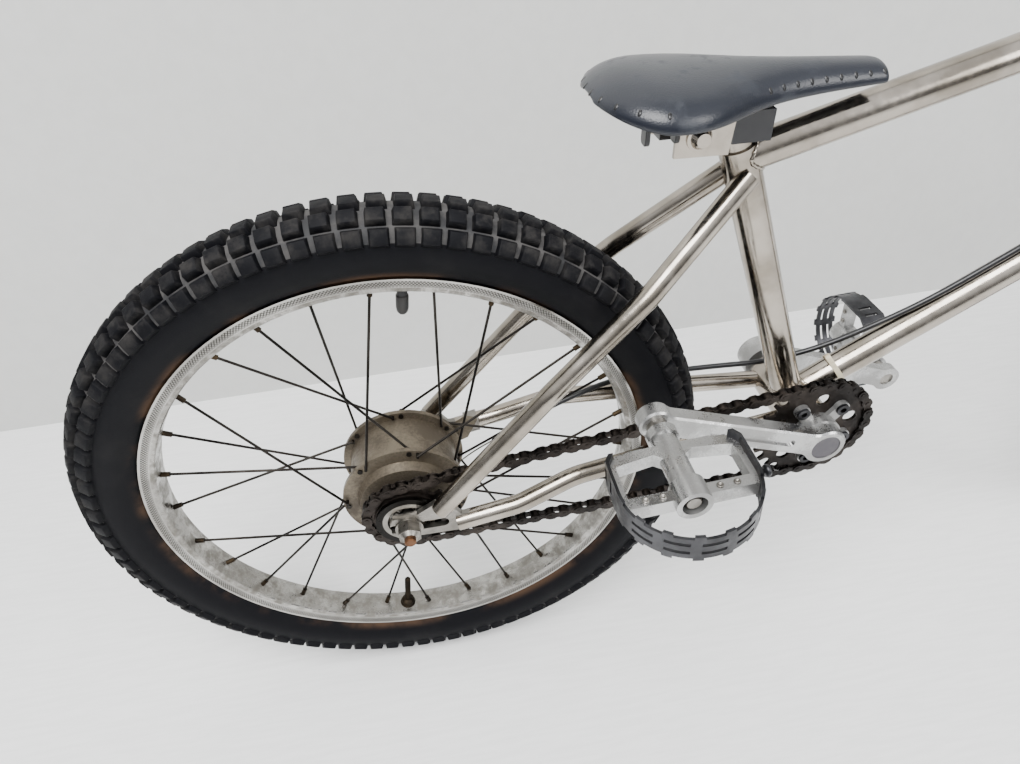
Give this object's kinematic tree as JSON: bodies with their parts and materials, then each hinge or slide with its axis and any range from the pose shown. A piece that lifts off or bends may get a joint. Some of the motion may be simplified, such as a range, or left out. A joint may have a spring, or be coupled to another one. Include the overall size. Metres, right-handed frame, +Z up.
{
  "type": "bicycle",
  "caption": "Small-wheeled single-speed bicycle with a welded tube frame, knobby tyres, a drum brake hub, cage pedals and a low moulded saddle.",
  "frame": {"origin": "on the ground, midway between the two axles, in the middle of the bicycle", "axes": "+X forward, +Y to the rider's left, +Z up"},
  "size_m": [1.5089, 0.6663, 0.9615],
  "materials": {
    "chromed_tube": "worn nickel plating with warm reflections",
    "worn_steel": "bare steel, lightly stained",
    "dark_steel": "oiled and oxidised dark steel",
    "cast_alloy": "satin cast alloy",
    "hub_casting": "dull tan-grey cast drum",
    "rim_steel": "plated rim with a knurled band",
    "tyre_rubber": "dusty black rubber",
    "black_rubber": "matt black rubber",
    "saddle_plastic": "dark blue-grey moulded plastic",
    "black_paint": "satin black",
    "cable_sheath": "black sheath",
    "cream_plastic": "cream nylon",
    "brass_nipple": "darkened brass",
    "cap_plastic": "grey-purple plastic"
  },
  "bodies": {
    "frame": {"front_triangle": "chromed_tube", "chain_stays": "chromed_tube", "seat_stays": "chromed_tube", "rear_dropouts": "worn_steel", "headset_cups": "chromed_tube", "headset_bearings": "worn_steel", "bottom_bracket_cups": "worn_steel", "bottom_bracket_bearings": "worn_steel", "rear_axle": "dark_steel", "rear_axle_nuts": "worn_steel", "rear_hub_cones": "worn_steel", "brake_plate": "hub_casting", "brake_arm_clip": "worn_steel", "brake_shoes": "black_paint", "brake_cable": "cable_sheath", "brake_cable_loop": "cable_sheath", "cable_ties": "cream_plastic", "chain": "dark_steel"},
    "seat": {"seat_post": "black_paint", "saddle": "saddle_plastic", "saddle_bracket": "worn_steel", "saddle_bolt": "worn_steel"},
    "brake_cam": {"brake_cam_arm": "worn_steel"},
    "rear_wheel": {"rear_tyre": "tyre_rubber", "rear_inner_tube": "black_rubber", "rear_rim": "rim_steel", "rear_spokes": "dark_steel", "rear_nipples": "brass_nipple", "rear_hub_shell": "hub_casting", "rear_hub_bearings": "worn_steel", "freewheel_body": "worn_steel"},
    "cog": {"rear_cog": "dark_steel"},
    "crankset": {"bottom_bracket_axle": "worn_steel", "right_crank": "cast_alloy", "left_crank": "cast_alloy", "chainring": "dark_steel", "chainring_bolts": "worn_steel", "crank_caps": "cap_plastic", "pedal_axles": "worn_steel"},
    "right_pedal": {"right_pedal_body": "cast_alloy", "right_pedal_cage": "dark_steel"},
    "left_pedal": {"left_pedal_body": "cast_alloy", "left_pedal_cage": "dark_steel"},
    "steering": {"fork_steerer": "chromed_tube", "fork_legs": "chromed_tube", "stem": "cast_alloy", "handlebar": "chromed_tube", "grips": "black_rubber", "brake_lever_perch": "cast_alloy", "front_axle": "worn_steel", "front_axle_nuts": "worn_steel", "headset_nuts": "chromed_tube"},
    "lever": {"brake_lever": "cast_alloy"},
    "front_wheel": {"front_tyre": "tyre_rubber", "front_inner_tube": "black_rubber", "front_rim": "rim_steel", "front_spokes": "dark_steel", "front_nipples": "brass_nipple", "front_hub_shell": "worn_steel", "front_hub_bearings": "worn_steel"}
  },
  "joints": [
    {"name": "seat_height", "type": "slide", "parent": "frame", "child": "seat", "axis": [-0.3567, 0, 0.9342], "range_m": [0, 0.06]},
    {"name": "crank_spin", "type": "hinge", "parent": "frame", "child": "crankset", "pos_m": [-0.14147, 0, 0.29], "axis": [0, 1, 0], "continuous": true, "deforming": ["chain"]},
    {"name": "cog_spin", "type": "hinge", "parent": "frame", "child": "cog", "pos_m": [-0.4925, 0, 0.262], "axis": [0, 1, 0], "continuous": true},
    {"name": "rear_wheel_spin", "type": "hinge", "parent": "frame", "child": "rear_wheel", "pos_m": [-0.4925, 0, 0.262], "axis": [0, 1, 0], "continuous": true},
    {"name": "right_pedal_spin", "type": "hinge", "parent": "crankset", "child": "right_pedal", "pos_m": [-0.29368, 0, 0.34691], "axis": [0, 1, 0], "continuous": true},
    {"name": "left_pedal_spin", "type": "hinge", "parent": "crankset", "child": "left_pedal", "pos_m": [0.01073, 0, 0.23309], "axis": [0, 1, 0], "continuous": true},
    {"name": "steering_turn", "type": "hinge", "parent": "frame", "child": "steering", "pos_m": [0.46215, 0, 0.25185], "axis": [-0.3173, 0, 0.9483], "range_deg": [-75, 75], "deforming": ["brake_cable_loop"]},
    {"name": "front_wheel_spin", "type": "hinge", "parent": "steering", "child": "front_wheel", "pos_m": [0.4925, 0, 0.262], "axis": [0, 1, 0], "continuous": true},
    {"name": "brake_lever_pull", "type": "hinge", "parent": "steering", "child": "lever", "pos_m": [0.29623, -0.22239, 0.94435], "axis": [0.3163, -0.08, -0.9453], "range_deg": [0, 14], "stiffness_Nm_per_rad": 1.2, "springref_deg": -11.46},
    {"name": "brake_cam_turn", "type": "hinge", "parent": "frame", "child": "brake_cam", "pos_m": [-0.4685, 0, 0.242], "axis": [0, -1, 0], "range_deg": [0, 9]}
  ],
  "couplings": [
    {"joint": "cog_spin", "follows": "crank_spin", "ratio": 1.4118},
    {"joint": "brake_cam_turn", "follows": "brake_lever_pull", "ratio": 0.6}
  ]
}
